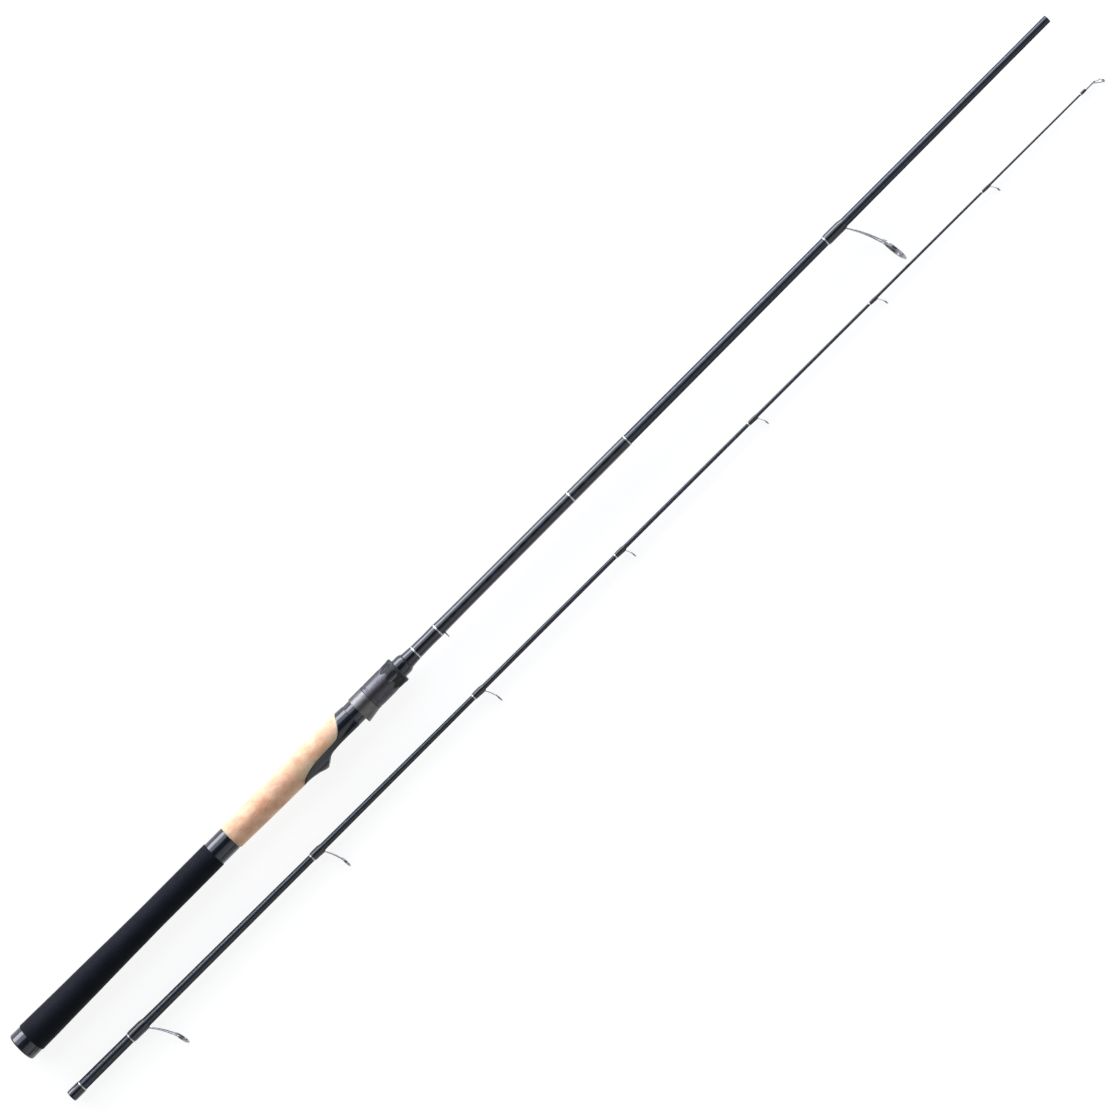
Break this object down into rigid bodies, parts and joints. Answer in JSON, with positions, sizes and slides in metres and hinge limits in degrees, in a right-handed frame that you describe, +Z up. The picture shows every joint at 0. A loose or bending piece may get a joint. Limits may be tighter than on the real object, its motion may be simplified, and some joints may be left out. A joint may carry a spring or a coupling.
{
  "type": "spinning rod",
  "caption": "Two-piece spinning rod with foam and cork grips, locking reel seat and ring guides, its tip section lying beside the butt section.",
  "frame": {"origin": "centre of the butt cap's end face", "axes": "+X along the butt section from the cap to its spigot, guides and reel seat point to -Y, +Z up from the surface that both sections lie on"},
  "size_m": [1.23, 0.112, 0.0284],
  "materials": {
    "carbon_blank": "satin carbon fibre, blue-black",
    "gloss_black": "gloss",
    "eva_foam": "closed-cell foam, fine matte",
    "cork": "sanded cork",
    "arbor_foam": "matte",
    "silver_thread": "metallic thread under clear coat",
    "thread_wrap": "thread under gloss epoxy",
    "clear_coat": "gloss clear coat over carbon",
    "guide_steel": "polished stainless steel",
    "ceramic": "polished ceramic",
    "hood_metal": "satin anodised, light grey",
    "nut_metal": "satin anodised, dark grey"
  },
  "bodies": {
    "butt_section": {"butt_blank": "carbon_blank", "butt_cap": "gloss_black", "grip_collar": "gloss_black", "reel_seat": "gloss_black", "winding_check": "gloss_black", "rear_grip": "eva_foam", "cork_grip": "cork", "seat_arbor_rear": "arbor_foam", "seat_arbor_front": "arbor_foam", "seat_trim": "silver_thread", "keeper_trim": "silver_thread", "label_trim": "silver_thread", "label_end_trim": "silver_thread", "keeper_wrap_rear": "thread_wrap", "keeper_wrap_front": "thread_wrap", "label_coat": "clear_coat", "hook_keeper": "guide_steel", "stripper_guide_frame": "guide_steel", "stripper_guide_ring": "ceramic", "stripper_guide_wrap": "thread_wrap", "stripper_guide_trim": "silver_thread"},
    "hood_body": {"sliding_hood": "hood_metal"},
    "nut_body": {"lock_nut": "nut_metal"},
    "tip_section": {"tip_blank": "carbon_blank", "ferrule_wrap": "thread_wrap", "ferrule_trim": "silver_thread", "tip_top_frame": "guide_steel", "tip_top_ring": "ceramic", "tip_top_wrap": "thread_wrap", "tip_top_trim": "silver_thread", "tip_guide_1_frame": "guide_steel", "tip_guide_1_ring": "ceramic", "tip_guide_1_wrap": "thread_wrap", "tip_guide_1_trim": "silver_thread", "tip_guide_2_frame": "guide_steel", "tip_guide_2_ring": "ceramic", "tip_guide_2_wrap": "thread_wrap", "tip_guide_2_trim": "silver_thread", "tip_guide_3_frame": "guide_steel", "tip_guide_3_ring": "ceramic", "tip_guide_3_wrap": "thread_wrap", "tip_guide_3_trim": "silver_thread", "tip_guide_4_frame": "guide_steel", "tip_guide_4_ring": "ceramic", "tip_guide_4_wrap": "thread_wrap", "tip_guide_4_trim": "silver_thread", "tip_guide_5_frame": "guide_steel", "tip_guide_5_ring": "ceramic", "tip_guide_5_wrap": "thread_wrap", "tip_guide_5_trim": "silver_thread", "tip_guide_6_frame": "guide_steel", "tip_guide_6_ring": "ceramic", "tip_guide_6_wrap": "thread_wrap", "tip_guide_6_trim": "silver_thread", "tip_guide_7_frame": "guide_steel", "tip_guide_7_ring": "ceramic", "tip_guide_7_wrap": "thread_wrap", "tip_guide_7_trim": "silver_thread"}
  },
  "joints": [
    {"name": "hood_slide", "type": "slide", "parent": "butt_section", "child": "hood_body", "axis": [1, 0, 0], "range_m": [-0.007, 0.005]},
    {"name": "nut_spin", "type": "hinge", "parent": "hood_body", "child": "nut_body", "pos_m": [0.435, 0, 0], "axis": [1, 0, 0], "range_deg": [-840, 600]},
    {"name": "tip_slide", "type": "slide", "parent": "butt_section", "child": "tip_section", "axis": [1, -0.0051, 0], "range_m": [0, 1.245]}
  ],
  "couplings": [
    {"joint": "hood_slide", "follows": "nut_spin", "m_per_rad": 0.00047746}
  ]
}
